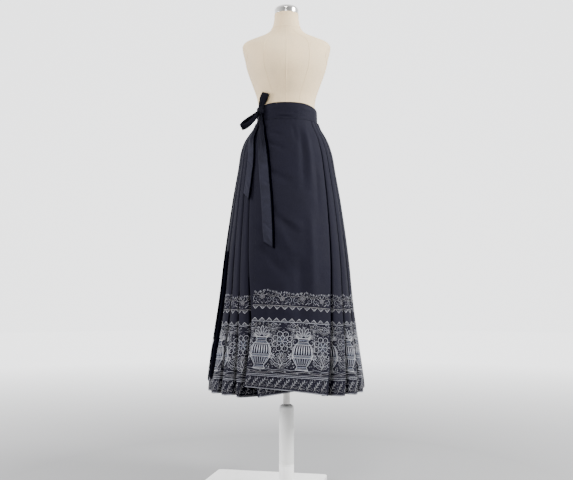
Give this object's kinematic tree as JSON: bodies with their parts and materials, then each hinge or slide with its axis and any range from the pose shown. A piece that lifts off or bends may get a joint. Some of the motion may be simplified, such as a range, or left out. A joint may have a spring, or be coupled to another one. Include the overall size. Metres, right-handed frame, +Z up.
{
  "type": "embroidered pleated wrap skirt on a limbless dress form with its stand",
  "caption": "Long pleated wrap skirt with flat front and back panels and a side bow, worn on a limbless dress form on a pole and base plate.",
  "frame": {"origin": "on the floor under the axis of the pole, on the underside of the base plate", "axes": "+Z up along the pole, -Y towards the front of the skirt, +X towards the side away from the bow"},
  "size_m": [0.5801, 0.4742, 1.6493],
  "materials": {
    "dark_cloth": "matte woven cloth with a soft sheen, near-black navy, with a border in silver-white thread",
    "silver_thread": "silver-white and pale grey embroidery thread, softly lustrous",
    "linen": "plain woven linen, stretched smooth",
    "chrome": "polished",
    "white_paint": "satin white paint"
  },
  "bodies": {
    "root": {"front_outer_panel": "dark_cloth", "right_pleats": "dark_cloth", "back_inner_panel": "dark_cloth", "back_outer_panel": "dark_cloth", "left_pleats": "dark_cloth", "front_inner_panel": "dark_cloth", "waistband": "dark_cloth", "bow_knot": "dark_cloth", "bow_loop_up": "dark_cloth", "bow_loop_down": "dark_cloth", "tie_tail_long": "dark_cloth", "tie_tail_short": "dark_cloth", "form_torso": "linen", "neck_cap": "chrome", "pole": "chrome", "column": "white_paint", "base_plate": "white_paint"}
  },
  "joints": []
}
